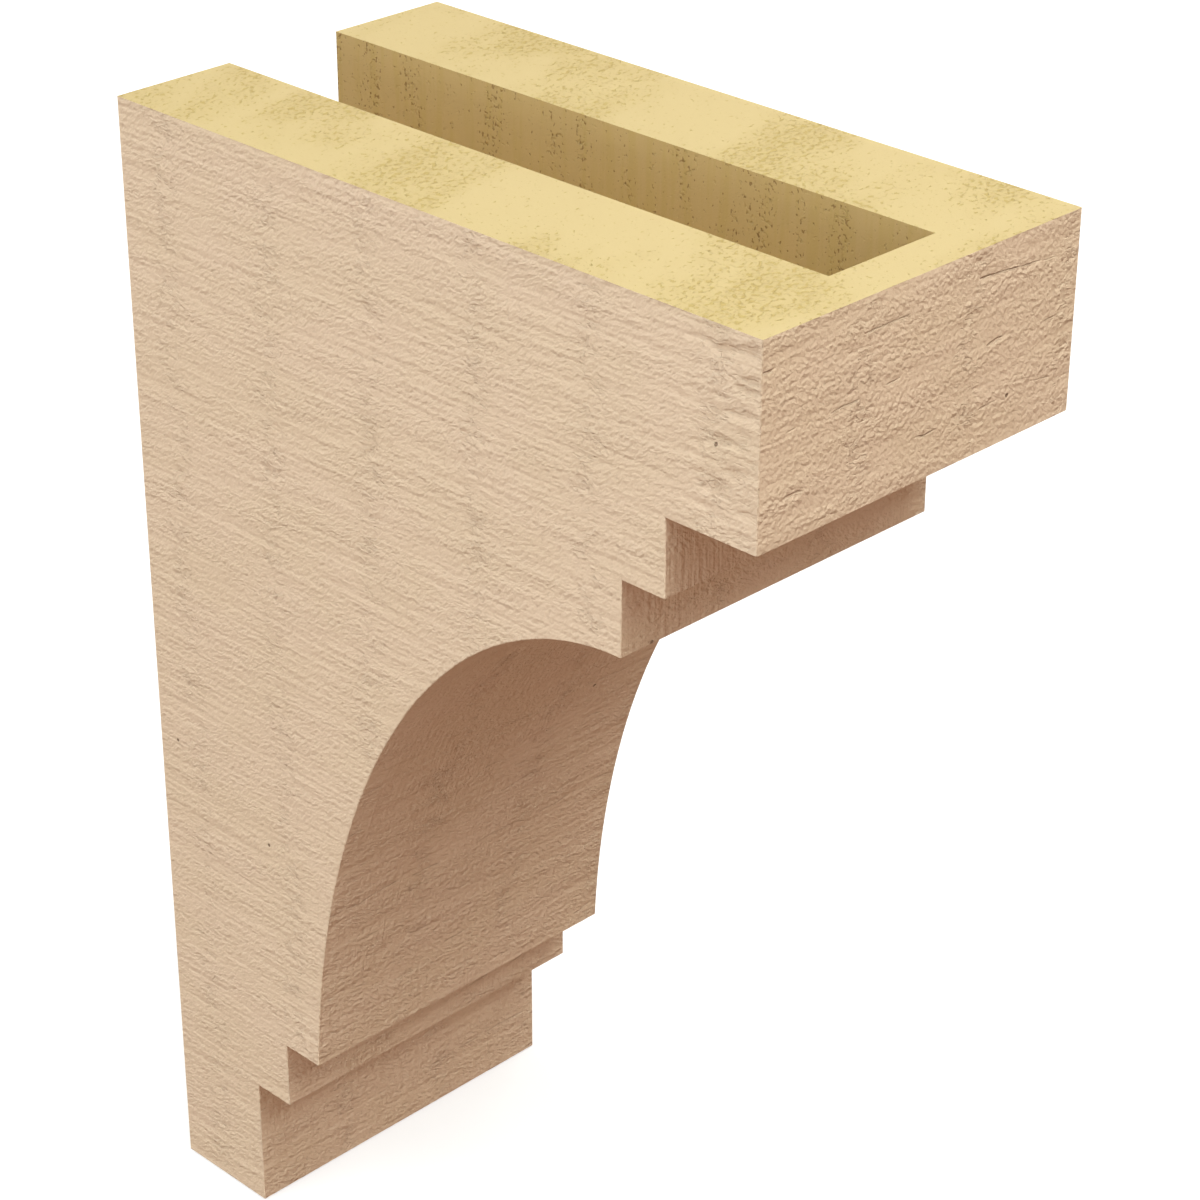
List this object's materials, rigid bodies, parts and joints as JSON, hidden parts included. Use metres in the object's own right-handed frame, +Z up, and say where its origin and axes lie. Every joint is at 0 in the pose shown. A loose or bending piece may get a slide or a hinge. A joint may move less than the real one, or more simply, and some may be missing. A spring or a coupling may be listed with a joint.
{
  "type": "corbel",
  "caption": "Deep stepped and coved corbel in faux rough-sawn wood, cast solid, with a batten slot open at the top and back, for carrying a shelf, mantel or soffit.",
  "frame": {"origin": "on the back face that bears on the wall, at mid width and mid height", "axes": "+Y out of the back face into the wall, so the corbel projects along -Y; +Z up; X across the width"},
  "size_m": [0.1524, 0.3048, 0.4572],
  "materials": {
    "primed_skin": "matte tan primer on a moulded rough-sawn wood grain"
  },
  "bodies": {
    "root": {"corbel": "primed_skin"}
  },
  "joints": []
}
